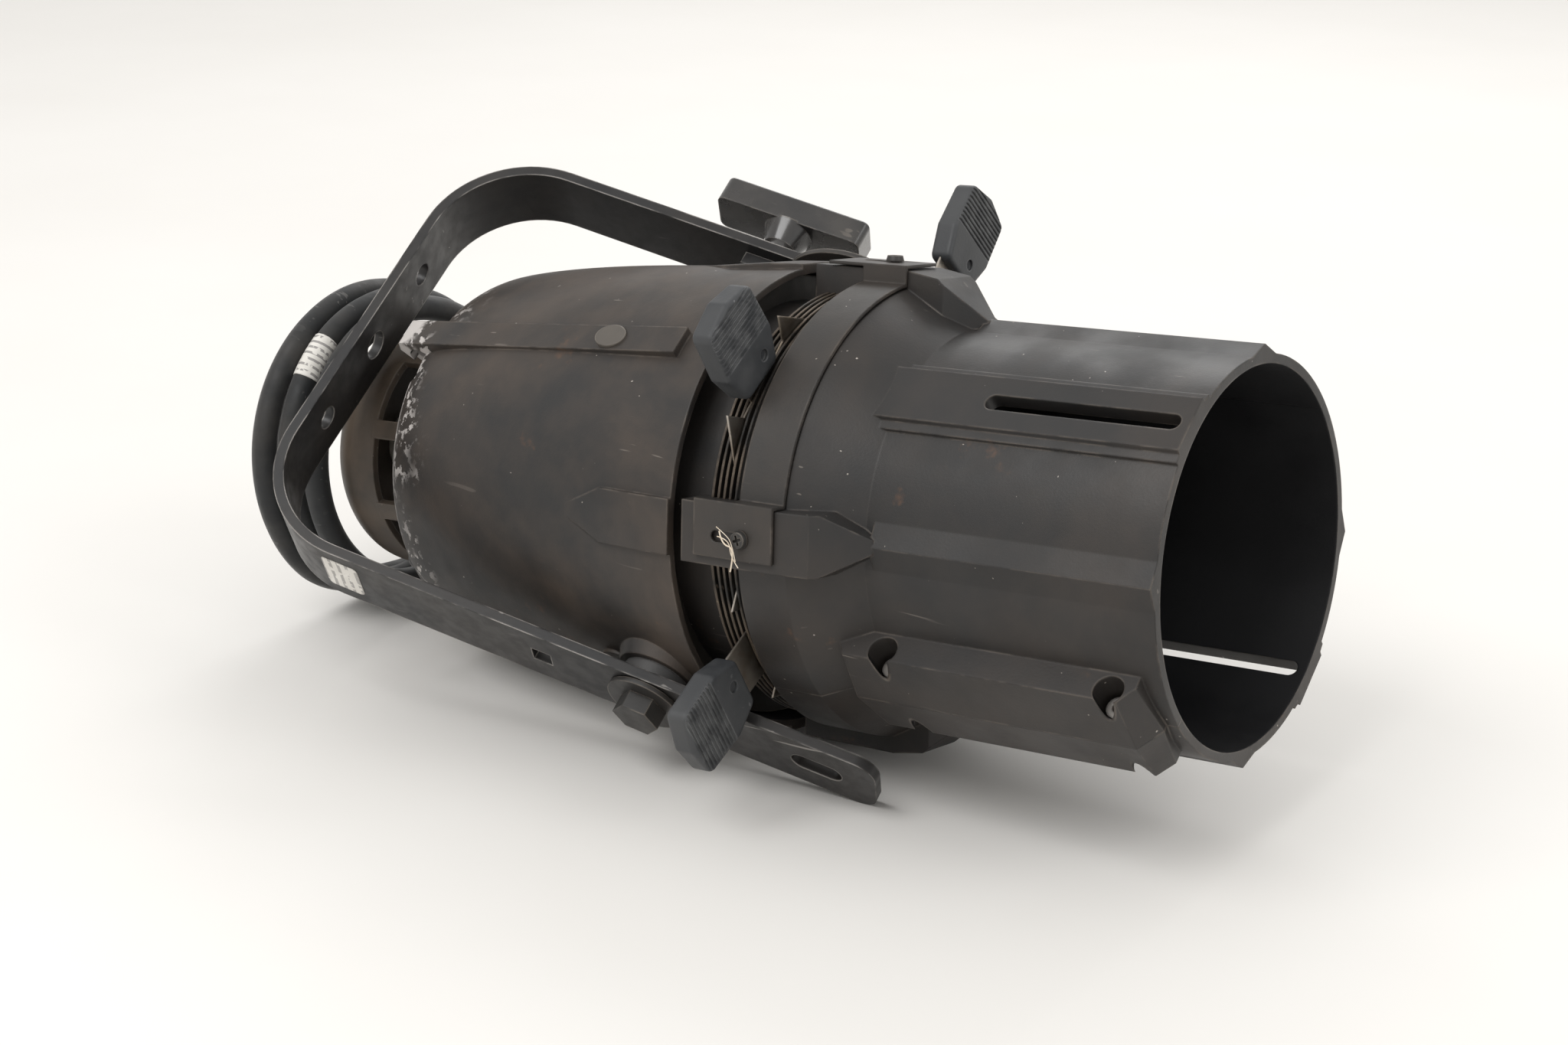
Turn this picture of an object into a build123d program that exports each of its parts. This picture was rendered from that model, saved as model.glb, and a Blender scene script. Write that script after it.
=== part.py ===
from build123d import *
from math import cos, pi, radians, sin, tan
import os

# Ellipsoidal spotlight body, laid on its side with the yoke folded back.
#
# Every sub-part is drawn in the spotlight's own axes: +X along the beam, +Z through the
# upper focus slot, Y along the tilt pivot, origin on the pivot.  The finished piece is then
# laid down by LAID_DOWN, the one placement that all of them share.

os.makedirs("parts", exist_ok=True)

# ---- lying pose -------------------------------------------------------------------------
BEAM_RAISE = 5.299          # degrees the beam points above the floor
BODY_ROLL = 35.951          # degrees the body is rolled about the beam, lock handle side up
PIVOT_X, PIVOT_Y, PIVOT_HEIGHT = -10.09, 4.74, 104.63

# ---- reflector housing -------------------------------------------------------------------
WALL = 3.0
HOUSING_FRONT, HOUSING_REAR = 28.0, -156.0
HOUSING_FRONT_R, HOUSING_REAR_R = 104.0, 78.5
RAIL_W = 14.0
EYE_X, EYE_Z, EYE_HOLE = -153.0, 81.0, 12.0
PLUG_X, PLUG_SEAT, PLUG_TOP = -30.0, 101.5, 104.4
PLUG_HALF_L, PLUG_HALF_W = 8.0, 6.0
LIP_R, LIP_T = 69.0, 4.0
BOSS_FACE = 105.5           # pivot bosses stand out to here on both sides

# ---- gate and shutters ---------------------------------------------------------------------
PLATE_T = 1.0
PLATE_PITCH = 3.0
PLATE_FIRST = 43.0          # centre of the rearmost guide plate
PLATE_R = 95.0
GATE_R = 39.0
BLADE_T = 0.8
GRIP_L, GRIP_W, GRIP_T = 43.0, 36.0, 11.0
GRIP_START = 97.5           # inner edge of a grip when its blade is pushed home

# ---- lens barrel --------------------------------------------------------------------------
RING_REAR, WINDOW_FRONT, CONE_REAR, TUBE_REAR, TUBE_FRONT = 36.0, 60.0, 84.0, 113.0, 246.0
RING_R, BORE_R, TUBE_R, RIB_R = 99.0, 79.0, 83.0, 87.0
POST_R, POST_W = 106.0, 26.0
POST_ANGLES = (45, 135, 225, 315)
RAIL_Z, RAIL_HALF = 86.0, 13.0
SLOT_REAR, SLOT_FRONT, SLOT_W = 158.0, 238.0, 7.4
FLANGE_Y, FLANGE_Z = 96.0, 22.0
SCREW_X = (121.0, 226.0)
SCREW_Y = 87.0

# ---- drop-in slot cover --------------------------------------------------------------------
COVER_R, COVER_T = 100.0, 1.4
COVER_REAR, COVER_FRONT = 62.0, 84.0
COVER_TRAVEL = 12.0
COVER_SCREW_X, SCREW_HEAD = 68.5, 2.4

# ---- yoke ---------------------------------------------------------------------------------
YOKE_FOLD = 22.35           # degrees the bridge is raised behind the body
YOKE_HALF, YOKE_T, YOKE_W = 116.6, 5.0, 36.0
YOKE_BACK, YOKE_FRONT, YOKE_BEND = 210.0, 110.0, 49.5
BRIDGE_HOLE, SIDE_HOLE, SIDE_PITCH = 14.0, 11.0, 90.0
LOCK_U = 52.0               # lock handle behind the pivot
SLOT_U = 82.0               # slotted hole in front of the pivot
PIVOT_D, PIN_GAP = 12.7, 0.05
DISC_R = 41.0
STEM_R = 5.0

# ---- burner and lead -----------------------------------------------------------------------
CAGE_R = 59.0
CAGE_REAR = -207.0
CAGE_WALL = 3.5
CAGE_FRONT = -152.0
CAP_REAR = -221.0
RIB_FIRST, RIB_COUNT = 30.0, 9
CORD_D = 12.5
COIL_IN, COIL_OUT = 60.0, 82.0
COIL_REAR, COIL_FRONT = -254.5, -205.0
GLAND_X, GLAND_Z = -208.0, -69.0
RELIEF_X, RELIEF_Y, RELIEF_Z = -211.5, 26.0, -65.0


def beam_plane(x):
    """Plane across the beam at station x; its x is body -Y and its y is body +Z."""
    return Plane(origin=(x, 0, 0), x_dir=(0, -1, 0), z_dir=(-1, 0, 0))


def spoke(angle):
    """Unit vector across the beam, angle in degrees from +Z towards -Y."""
    return Vector(0, -sin(radians(angle)), cos(radians(angle)))


def along_plane(angle):
    """Plane holding the beam and the spoke at angle: its x is the beam, its y the spoke."""
    out = spoke(angle)
    return Plane(origin=(0, 0, 0), x_dir=(1, 0, 0), z_dir=Vector(1, 0, 0).cross(out))


def facing_plane(angle, height):
    """Plane facing outwards along the spoke: its x is the beam."""
    out = spoke(angle)
    return Plane(origin=out * height, x_dir=(1, 0, 0), z_dir=out)


def side_plane(y):
    """Plane square to the pivot at y, facing +Y; its x is the beam and its y is body -Z."""
    return Plane(origin=(0, y, 0), x_dir=(1, 0, 0), z_dir=(0, 1, 0))


fold = radians(YOKE_FOLD)
raise_angle, roll_angle = radians(BEAM_RAISE), radians(BODY_ROLL)
LAID_DOWN = Plane(
    origin=(PIVOT_X, PIVOT_Y, PIVOT_HEIGHT),
    x_dir=(cos(raise_angle), 0, sin(raise_angle)),
    z_dir=(-sin(raise_angle) * cos(roll_angle), -sin(roll_angle), cos(raise_angle) * cos(roll_angle)),
).location


def save(piece, name):
    """Lay a finished piece down with the rest, label it and write it."""
    piece.part.location = LAID_DOWN
    piece.part.label = name
    export_step(piece.part, f"parts/{name}.step")


# =============================================================================================
# Reflector housing
# =============================================================================================
housing_outline = [(HOUSING_REAR, HOUSING_REAR_R), (-147, 85.5), (-130, 90.5), (-103, 94.5),
                   (-52, 99), (HOUSING_FRONT, HOUSING_FRONT_R)]

pad_side = [(HOUSING_FRONT, 97), (HOUSING_FRONT, 105.4), (10, 104.6), (-34, 100), (-34, 96)]
pad_plan = [(HOUSING_FRONT, 12), (-12, 12), (-34, 2), (-34, -2), (-12, -12), (HOUSING_FRONT, -12)]


def raised(angle, side, plan):
    """A raised form at an angle round the beam: a side profile cut to a plan."""
    with BuildPart(mode=Mode.PRIVATE) as form:
        with BuildSketch(along_plane(angle)):
            Polygon(*side, align=None)
        extrude(amount=POST_W / 2, both=True)
        with BuildSketch(facing_plane(angle, 60)):
            Polygon(*plan, align=None)
        extrude(amount=60, mode=Mode.INTERSECT)
    return form.part


with BuildPart() as reflector_housing:
    with BuildSketch(Plane.XZ):
        with BuildLine():
            outer = Spline(*housing_outline)
            inner = Spline(*[(x, r - WALL) for x, r in housing_outline])
            Line(outer @ 0, inner @ 0)
            Line(outer @ 1, inner @ 1)
        make_face()
    revolve(axis=Axis.X)
    # straight rails over the top and underneath
    for angle in (0, 180):
        with BuildSketch(along_plane(angle)):
            Polygon((-158, 78), (-163, 86), (-161, 91), (10, 106.5), (10, 101), (-100, 93), (-150, 82),
                    align=None)
        extrude(amount=RAIL_W / 2, both=True)
    # embossed pads in line with the barrel posts, pointed at the rear
    for angle in POST_ANGLES:
        add(raised(angle, pad_side, pad_plan))
    # pivot bosses
    for side in (1, -1):
        with BuildSketch(side_plane(side * 88)):
            Circle(27)
        with BuildSketch(side_plane(side * BOSS_FACE)):
            Circle(19)
        loft()
        with BuildSketch(side_plane(side * 92)):
            with Locations((-24, 0)):
                Circle(9)
        extrude(amount=side * 10)
    # hollow out what the bosses and pads left inside, then open the pivot bores
    with BuildSketch(Plane.XZ):
        with BuildLine():
            inner = Spline(*[(x, r - WALL) for x, r in housing_outline])
            Line((HOUSING_REAR, 0), inner @ 0)
            Line((HOUSING_FRONT, 0), inner @ 1)
            Line((HOUSING_REAR, 0), (HOUSING_FRONT, 0))
        make_face()
    revolve(axis=Axis.X, mode=Mode.SUBTRACT)
    # inward lip at the rear, where the burner flange seats
    with BuildSketch(Plane.XZ):
        with Locations((HOUSING_REAR, LIP_R)):
            Rectangle(LIP_T, HOUSING_REAR_R - LIP_R, align=Align.MIN)
    revolve(axis=Axis.X)
    with BuildSketch(side_plane(-BOSS_FACE)):
        Circle(PIVOT_D / 2)
    extrude(amount=2 * BOSS_FACE, mode=Mode.SUBTRACT)
    # safety cable eye at the rear end of the upper rail
    with BuildSketch(side_plane(-3)):
        with Locations((EYE_X, -EYE_Z)):
            Circle(EYE_HOLE / 2 + 4)
    extrude(amount=6)
    with BuildSketch(side_plane(-20)):
        with Locations((EYE_X, -EYE_Z)):
            Circle(EYE_HOLE / 2)
    extrude(amount=40, mode=Mode.SUBTRACT)
    # seats of the two oval plugs
    for angle in (0, 180):
        with BuildSketch(facing_plane(angle, PLUG_SEAT)):
            with Locations((PLUG_X, 0)):
                Ellipse(PLUG_HALF_L, PLUG_HALF_W)
        extrude(amount=10, mode=Mode.SUBTRACT)
save(reflector_housing, "reflector_housing")

with BuildPart() as rail_plugs:
    for angle in (0, 180):
        with BuildSketch(facing_plane(angle, PLUG_SEAT)):
            with Locations((PLUG_X, 0)):
                Ellipse(PLUG_HALF_L, PLUG_HALF_W)
        extrude(amount=PLUG_TOP - PLUG_SEAT)
save(rail_plugs, "rail_plugs")


# =============================================================================================
# Reflector and its holding ring, gate collar
# =============================================================================================
bowl_outline = [(-140, 26), (-125, 50), (-88, 72), (-40, 83), (13, 87)]

with BuildPart() as ellipsoidal_reflector:
    with BuildSketch(Plane.XZ):
        with BuildLine():
            outer = Spline(*bowl_outline)
            inner = Spline(*[(x, r - WALL) for x, r in bowl_outline])
            Line(outer @ 0, inner @ 0)
            Line(outer @ 1, inner @ 1)
        make_face()
    revolve(axis=Axis.X)
save(ellipsoidal_reflector, "ellipsoidal_reflector")


def ring(x_rear, x_front, r_in, r_out):
    """Plain ring round the beam."""
    with BuildPart() as band:
        with BuildSketch(beam_plane(x_front)):
            Circle(r_out)
            Circle(r_in, mode=Mode.SUBTRACT)
        extrude(amount=x_front - x_rear)
    return band


REFLECTOR_RING_REAR, COLLAR_REAR = 13.0, 17.0
COLLAR_R = 88.0
reflector_ring = ring(REFLECTOR_RING_REAR, COLLAR_REAR, 82, 99)
save(reflector_ring, "reflector_ring")
gate_collar = ring(COLLAR_REAR, PLATE_FIRST - PLATE_T / 2, COLLAR_R - 4, COLLAR_R)
save(gate_collar, "gate_collar")

# =============================================================================================
# Gate: guide plates between the shutter blades, held by the four barrel posts
# =============================================================================================
POST_IN = 92.0
GATE_PLATES = ("gate_plate", "shutter_guide_1", "shutter_guide_2", "shutter_guide_3",
               "shutter_guide_4")


def guide_plate(x):
    """Round plate with the gate hole, notched for the posts."""
    with BuildPart() as plate:
        with BuildSketch(beam_plane(x + PLATE_T / 2)):
            Circle(PLATE_R)
            Circle(GATE_R, mode=Mode.SUBTRACT)
            with PolarLocations(POST_IN + 4, 4, start_angle=45):
                Rectangle(10, POST_W + 0.2, mode=Mode.SUBTRACT)
        extrude(amount=PLATE_T)
    return plate


for index, name in enumerate(GATE_PLATES):
    save(guide_plate(PLATE_FIRST + index * PLATE_PITCH), name)

# =============================================================================================
# Lens barrel, cast in two halves that meet on the pivot plane
# =============================================================================================
barrel_wall = [(WINDOW_FRONT, RING_R), (CONE_REAR, RING_R), (TUBE_REAR, TUBE_R), (TUBE_FRONT, TUBE_R),
               (TUBE_FRONT, 70), (WINDOW_FRONT, 70)]
barrel_inside = [(RING_REAR - 4, 0), (RING_REAR - 4, POST_IN), (CONE_REAR, POST_IN), (TUBE_REAR, BORE_R),
                 (TUBE_FRONT + 4, BORE_R), (TUBE_FRONT + 4, 0)]
post_side = [(RING_REAR, 80), (RING_REAR, POST_R), (CONE_REAR, POST_R), (99, POST_R - 2.5),
             (119, 86.5), (119, 78)]
post_plan = [(RING_REAR, POST_W / 2), (102, POST_W / 2), (119, 3), (119, -3), (102, -POST_W / 2),
             (RING_REAR, -POST_W / 2)]
rail_section = [(-17, 74), (-17, 83), (-RAIL_HALF - 0.5, 83.8), (-RAIL_HALF, RAIL_Z),
                (RAIL_HALF, RAIL_Z), (RAIL_HALF + 0.5, 83.8), (17, 83), (17, 74)]
flange_plan = [(84, 70), (101, FLANGE_Y), (233, FLANGE_Y), (241, 86), (241, 70)]
RIB_REAR = 117.0
DROP_SLOT_REAR, DROP_SLOT_FRONT, DROP_SLOT_HALF = 66.0, 76.0, 54.0


def polar(radius, angle):
    """Point of a beam_plane sketch at an angle from the top rail."""
    return (radius * sin(radians(angle)), radius * cos(radians(angle)))


def barrel_half(keep):
    """Upper or lower half of the lens barrel with its posts, ribs, rail and seam flanges."""
    with BuildPart() as half:
        with BuildSketch(Plane.XZ):
            Polygon(*barrel_wall, align=None)
        revolve(axis=Axis.X)
        for angle in POST_ANGLES:
            add(raised(angle, post_side, post_plan))
            with BuildSketch(beam_plane(TUBE_FRONT)):
                Polygon(polar(80, angle - 8), polar(TUBE_R, angle - 7), polar(RIB_R, angle),
                        polar(TUBE_R, angle + 7), polar(80, angle + 8), align=None)
            extrude(amount=TUBE_FRONT - RIB_REAR)
        for turn in (0, 180):
            with BuildSketch(beam_plane(TUBE_FRONT)):
                add(Polygon(*rail_section, align=None, mode=Mode.PRIVATE), rotation=turn)
            extrude(amount=TUBE_FRONT - 106)
        for side in (1, -1):
            with BuildSketch(Plane.XY):
                Polygon(*[(x, side * y) for x, y in flange_plan], align=None)
            extrude(amount=FLANGE_Z + 4, both=True, taper=9)
        with BuildSketch(Plane.XZ):
            Polygon(*barrel_inside, align=None)
        revolve(axis=Axis.X, mode=Mode.SUBTRACT)
        for angle in (0, 180):
            with BuildSketch(facing_plane(angle, 60)):
                with Locations(((SLOT_REAR + SLOT_FRONT) / 2, 0)):
                    SlotCenterToCenter(SLOT_FRONT - SLOT_REAR, SLOT_W)
            extrude(amount=40, mode=Mode.SUBTRACT)
        # seam screws: head wells from above, nut wells from below
        for z, depth, radius in ((8, 60, 6.5), (-8, -60, 6.5), (-8, 16, 3.0)):
            with BuildSketch(Plane.XY.offset(z)):
                with Locations(*[(x, y) for x in SCREW_X for y in (SCREW_Y, -SCREW_Y)]):
                    Circle(radius)
            extrude(amount=depth, mode=Mode.SUBTRACT)
        # drop-in slot in the top of the ring, under the cover
        with BuildSketch(Plane.XY.offset(60)):
            with Locations(((DROP_SLOT_REAR + DROP_SLOT_FRONT) / 2, 0)):
                Rectangle(DROP_SLOT_FRONT - DROP_SLOT_REAR, 2 * DROP_SLOT_HALF)
        extrude(amount=60, mode=Mode.SUBTRACT)
        for side in (1, -1):
            with BuildSketch(facing_plane(45 * side, POST_R)):
                with Locations((COVER_SCREW_X, 0)):
                    Circle(2)
            extrude(amount=-10, mode=Mode.SUBTRACT)
        split(bisect_by=Plane.XY, keep=keep)
    return half


barrel_upper_half = barrel_half(Keep.TOP)
save(barrel_upper_half, "barrel_upper_half")
barrel_lower_half = barrel_half(Keep.BOTTOM)
save(barrel_lower_half, "barrel_lower_half")

with BuildPart() as seam_screws:
    with Locations(*[(x, y) for x in SCREW_X for y in (SCREW_Y, -SCREW_Y)]):
        with Locations((0, 0, 0)):
            Cylinder(3.0, 16)
        with Locations((0, 0, 11)):
            Cylinder(5.0, 6)
        with Locations((0, 0, 13)):
            Cylinder(2.4, 3, mode=Mode.SUBTRACT)
        with Locations((0, 0, -11)):
            Cylinder(5.2, 6)
save(seam_screws, "seam_screws")

# =============================================================================================
# Drop-in slot cover: a bent band with a slotted tab over each upper post
# =============================================================================================
COVER_GAP = 0.4
TAB_H = POST_R + 0.8        # tabs ride this far from the beam
TAB_OUT, TAB_REAR = 9.0, 44.0


def tab_point(side, across, height):
    """Point of a beam_plane sketch beside an upper post, across counted away from the top."""
    ex, ey = side * sin(radians(45)), cos(radians(45))
    tx, ty = side * cos(radians(45)), -sin(radians(45))
    return (height * ex + across * tx, height * ey + across * ty)


with BuildPart() as slot_cover:
    half_angle = 37.2
    with BuildSketch(beam_plane(COVER_FRONT)):
        with BuildLine():
            low = CenterArc((0, 0), COVER_R, 90 - half_angle, 2 * half_angle)
            high = CenterArc((0, 0), COVER_R + COVER_T, 90 - half_angle, 2 * half_angle)
            Line(low @ 0, high @ 0)
            Line(low @ 1, high @ 1)
        make_face()
        for side in (1, -1):
            inner_w = -(POST_W / 2 + COVER_GAP)
            Polygon(tab_point(side, inner_w - COVER_T, COVER_R - 1), tab_point(side, inner_w, COVER_R - 1),
                    tab_point(side, inner_w, TAB_H), tab_point(side, TAB_OUT, TAB_H),
                    tab_point(side, TAB_OUT, TAB_H + COVER_T),
                    tab_point(side, inner_w - COVER_T, TAB_H + COVER_T), align=None)
    extrude(amount=COVER_FRONT - COVER_REAR)
    for side in (1, -1):
        with BuildSketch(beam_plane(COVER_REAR)):
            Polygon(tab_point(side, inner_w - COVER_T, TAB_H), tab_point(side, TAB_OUT, TAB_H),
                    tab_point(side, TAB_OUT, TAB_H + COVER_T),
                    tab_point(side, inner_w - COVER_T, TAB_H + COVER_T), align=None)
        extrude(amount=COVER_REAR - TAB_REAR)
    for side in (1, -1):
        with BuildSketch(facing_plane(45 * side, TAB_H - 1)):
            with Locations((COVER_SCREW_X - COVER_TRAVEL / 2 - 0.5, 0)):
                SlotCenterToCenter(COVER_TRAVEL + 1, 4.8)
        extrude(amount=5, mode=Mode.SUBTRACT)
save(slot_cover, "slot_cover")

with BuildPart() as cover_screws:
    for side in (1, -1):
        with BuildSketch(facing_plane(45 * side, POST_R - 10)):
            with Locations((COVER_SCREW_X, 0)):
                Circle(2)
        extrude(amount=10 + 0.8 + COVER_T + COVER_GAP)
        with BuildSketch(facing_plane(45 * side, TAB_H + COVER_T + COVER_GAP)):
            with Locations((COVER_SCREW_X, 0)):
                Circle(4)
        extrude(amount=SCREW_HEAD, taper=15)
        with BuildSketch(facing_plane(45 * side, TAB_H + COVER_T + COVER_GAP + SCREW_HEAD)):
            with Locations((COVER_SCREW_X, 0)):
                Rectangle(4.4, 1.1, rotation=20)
                Rectangle(1.1, 4.4, rotation=20)
        extrude(amount=-1.6, mode=Mode.SUBTRACT)
save(cover_screws, "cover_screws")

# =============================================================================================
# Four shutters: a steel blade in its own plane, with a moulded grip on its tab
# =============================================================================================
TAB_HALF = 12.0
NECK_HALF = 12.5            # half width of a grip at its inner end
GRIP_GROOVES, GROOVE_PITCH, GROOVE_W, GROOVE_DEEP = 10, 2.2, 1.1, 0.8


def shutter(angle, x, pulled_out, shoulder, grip_turn):
    """Blade and grip of one shutter; x is its plane, pulled_out how far it stands open."""
    out = spoke(angle)
    plane = Plane(origin=(x, 0, 0) + out * pulled_out, x_dir=out.cross(Vector(1, 0, 0)), z_dir=(1, 0, 0))
    half_outline = [(TAB_HALF, GRIP_START + 18), (TAB_HALF, shoulder - 10), (20, shoulder - 10),
                    (26, shoulder), (38, shoulder - 18), (48, 44), (48, 12), (42, 3)]
    outline = half_outline + [(-w, s) for w, s in reversed(half_outline)]
    with BuildPart() as blade:
        with BuildSketch(plane):
            Polygon(*outline, align=None)
        extrude(amount=BLADE_T / 2, both=True)
    middle = GRIP_START + GRIP_L / 2
    with BuildPart() as grip:
        with BuildSketch(plane):
            with Locations(Location((0, middle), grip_turn)):
                Polygon((-NECK_HALF, -GRIP_L / 2), (-GRIP_W / 2, -6), (-GRIP_W / 2 + 1, GRIP_L / 2 - 4),
                        (0, GRIP_L / 2), (GRIP_W / 2 - 1, GRIP_L / 2 - 4), (GRIP_W / 2, -6),
                        (NECK_HALF, -GRIP_L / 2), align=None)
            fillet(vertices(), 4)
        extrude(amount=GRIP_T / 2, both=True)
        faces_out = grip.faces().filter_by(GeomType.PLANE).sort_by(Axis.X)
        fillet(faces_out[0].edges() + faces_out[-1].edges(), 2.2)
        for side in (1, -1):
            with BuildSketch(plane.offset(side * GRIP_T / 2)):
                with Locations(Location((0, middle), grip_turn)):
                    with Locations((0, GRIP_L / 2 - 4 - GROOVE_PITCH * (GRIP_GROOVES - 1) / 2)):
                        with GridLocations(1, GROOVE_PITCH, 1, GRIP_GROOVES):
                            Rectangle(GRIP_W + 6, GROOVE_W)
            extrude(amount=-side * GROOVE_DEEP, mode=Mode.SUBTRACT)
            with BuildSketch(plane.offset(side * GRIP_T / 2)):
                with Locations((4, middle - GRIP_L / 2 + 8)):
                    Circle(2.6)
            extrude(amount=-side * 1.5, mode=Mode.SUBTRACT)
        with BuildSketch(plane):
            with Locations((0, GRIP_START + 9 - 2)):
                Rectangle(2 * TAB_HALF, 22)
        extrude(amount=BLADE_T / 2, both=True, mode=Mode.SUBTRACT)
    return blade, grip


BLADE_FIRST = PLATE_FIRST + PLATE_PITCH / 2
SHUTTERS = {
    "top": (4, BLADE_FIRST + 2 * PLATE_PITCH, 0.5, 103, -10),
    "near": (80.5, BLADE_FIRST + 3 * PLATE_PITCH, 12.0, 84, 0),
    "far": (-83.5, BLADE_FIRST + PLATE_PITCH, 27.5, 76, 0),
    "under": (190, BLADE_FIRST, 4.0, 84, 0),
}
for place, layout in SHUTTERS.items():
    blade, grip = shutter(*layout)
    save(blade, f"shutter_blade_{place}")
    save(grip, f"shutter_grip_{place}")

# =============================================================================================
# Yoke, pivot hardware and tilt lock
# =============================================================================================
YOKE_PLANE = Plane(origin=(0, 0, 0), x_dir=(-cos(fold), 0, sin(fold)), z_dir=(sin(fold), 0, cos(fold)))


def arm_plane(u, y, facing):
    """Plane on a yoke arm: origin u behind the pivot, x backwards along the arm, facing +-Y."""
    return Plane(origin=(-u * cos(fold), y, u * sin(fold)), x_dir=(-cos(fold), 0, sin(fold)),
                 z_dir=(0, facing, 0))


with BuildPart() as yoke:
    middle_half = YOKE_HALF - YOKE_T / 2
    with BuildSketch(YOKE_PLANE):
        with BuildLine() as bar_line:
            FilletPolyline((-YOKE_FRONT, middle_half), (YOKE_BACK - YOKE_T / 2, middle_half),
                           (YOKE_BACK - YOKE_T / 2, -middle_half), (-YOKE_FRONT, -middle_half),
                           radius=YOKE_BEND)
        trace(bar_line.line, line_width=YOKE_T)
    extrude(amount=YOKE_W / 2, both=True)
    fillet(yoke.edges().filter_by(Axis.Y).sort_by(Axis.X)[-4:], 10)
    # bridge holes for the hanging bolt and two fixings
    bridge_face = Plane(origin=YOKE_PLANE.x_dir * YOKE_BACK, x_dir=(0, 1, 0), z_dir=YOKE_PLANE.x_dir)
    with BuildSketch(bridge_face):
        Circle(BRIDGE_HOLE / 2)
        with GridLocations(SIDE_PITCH, 1, 2, 1):
            Circle(SIDE_HOLE / 2)
    extrude(amount=-2 * YOKE_T, mode=Mode.SUBTRACT)
    # pivot holes, slotted end holes
    with BuildSketch(arm_plane(0, -YOKE_HALF - 1, 1)):
        Circle(PIVOT_D / 2 + PIN_GAP)
        with Locations((-SLOT_U, 0)):
            SlotOverall(24, 11)
    extrude(amount=2 * YOKE_HALF + 2, mode=Mode.SUBTRACT)
    # square hole in the near arm, round one for the lock stem in the far arm
    with BuildSketch(arm_plane(LOCK_U, -YOKE_HALF - 1, 1)):
        Rectangle(9.5, 9.5)
    extrude(amount=YOKE_T + 2, mode=Mode.SUBTRACT)
    with BuildSketch(arm_plane(LOCK_U, YOKE_HALF + 1, -1)):
        Circle(STEM_R + PIN_GAP)
    extrude(amount=YOKE_T + 2, mode=Mode.SUBTRACT)
save(yoke, "yoke")

ARM_GAP = 0.4
WASHER_R, WASHER_T = 17.7, 2.4
HEAD_AF, HEAD_T = 19.0, 8.5
with BuildPart() as pivot_washers:
    for side in (1, -1):
        with BuildSketch(side_plane(side * (YOKE_HALF + ARM_GAP))):
            Circle(WASHER_R)
            Circle(PIVOT_D / 2, mode=Mode.SUBTRACT)
        extrude(amount=side * WASHER_T)
save(pivot_washers, "pivot_washers")

BOLT_SEAT = YOKE_HALF + ARM_GAP + WASHER_T
with BuildPart() as pivot_bolts:
    for side in (1, -1):
        with BuildSketch(side_plane(side * BOLT_SEAT)):
            RegularPolygon(HEAD_AF / 2, 6, major_radius=False, rotation=24)
        extrude(amount=side * HEAD_T)
        with BuildSketch(side_plane(side * BOLT_SEAT)):
            Circle(PIVOT_D / 2)
        extrude(amount=-side * (BOLT_SEAT - 90))
save(pivot_bolts, "pivot_bolts")

with BuildPart() as pivot_nuts:
    for side in (1, -1):
        with BuildSketch(side_plane(side * 91)):
            RegularPolygon(HEAD_AF / 2, 6, major_radius=False)
            Circle(PIVOT_D / 2, mode=Mode.SUBTRACT)
        extrude(amount=side * 6.5)
save(pivot_nuts, "pivot_nuts")

with BuildPart() as pivot_bush:
    with BuildSketch(side_plane(-BOSS_FACE)):
        Circle(16)
        Circle(PIVOT_D / 2, mode=Mode.SUBTRACT)
    extrude(amount=-(YOKE_HALF - YOKE_T - ARM_GAP - BOSS_FACE))
save(pivot_bush, "pivot_bush")

DISC_IN, DISC_OUT = 108.6, YOKE_HALF - YOKE_T - ARM_GAP
with BuildPart() as friction_disc:
    with BuildSketch(side_plane(BOSS_FACE)):
        Circle(18)
        Circle(PIVOT_D / 2, mode=Mode.SUBTRACT)
    extrude(amount=DISC_OUT - BOSS_FACE)
    with BuildSketch(side_plane(DISC_IN)):
        Circle(DISC_R)
        Circle(PIVOT_D / 2, mode=Mode.SUBTRACT)
    extrude(amount=DISC_OUT - DISC_IN)
save(friction_disc, "friction_disc")

# jaw that pinches the disc when the lock handle is turned; it rides with the yoke arm
JAW_IN = 105.0
with BuildPart() as clamp_jaw:
    with BuildSketch(arm_plane(0, JAW_IN, 1)):
        with Locations(((34 + 62) / 2, 0)):
            RectangleRounded(28, 22, 3)
    extrude(amount=DISC_IN - ARM_GAP - JAW_IN)
    with BuildSketch(arm_plane(0, JAW_IN, 1)):
        with Locations(((44 + 62) / 2, 0)):
            Rectangle(18, 22)
    extrude(amount=YOKE_HALF - YOKE_T - JAW_IN)
    with BuildSketch(arm_plane(LOCK_U, JAW_IN - 1, 1)):
        Circle(STEM_R + PIN_GAP)
    extrude(amount=20, mode=Mode.SUBTRACT)
save(clamp_jaw, "clamp_jaw")

BAR_L, BAR_W, BAR_T, BAR_TOP = 75.0, 23.0, 14.0, 150.0
with BuildPart() as lock_handle:
    with BuildSketch(arm_plane(LOCK_U, JAW_IN + 0.5, 1)):
        Circle(STEM_R)
    extrude(amount=30)
    with BuildSketch(arm_plane(LOCK_U, YOKE_HALF + ARM_GAP, 1)):
        Circle(12)
    extrude(amount=9, taper=21)
    with BuildSketch(arm_plane(LOCK_U, YOKE_HALF + ARM_GAP + 9, 1)):
        Circle(8.5)
    extrude(amount=11, taper=-21)
    with BuildSketch(arm_plane(LOCK_U, BAR_TOP - BAR_T, 1)):
        Rectangle(BAR_L, BAR_W)
    extrude(amount=BAR_T)
    fillet(lock_handle.edges().filter_by(Axis.Y), 4)
    fillet(lock_handle.faces().sort_by(Axis.Y)[-1].edges(), 1.5)
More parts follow.
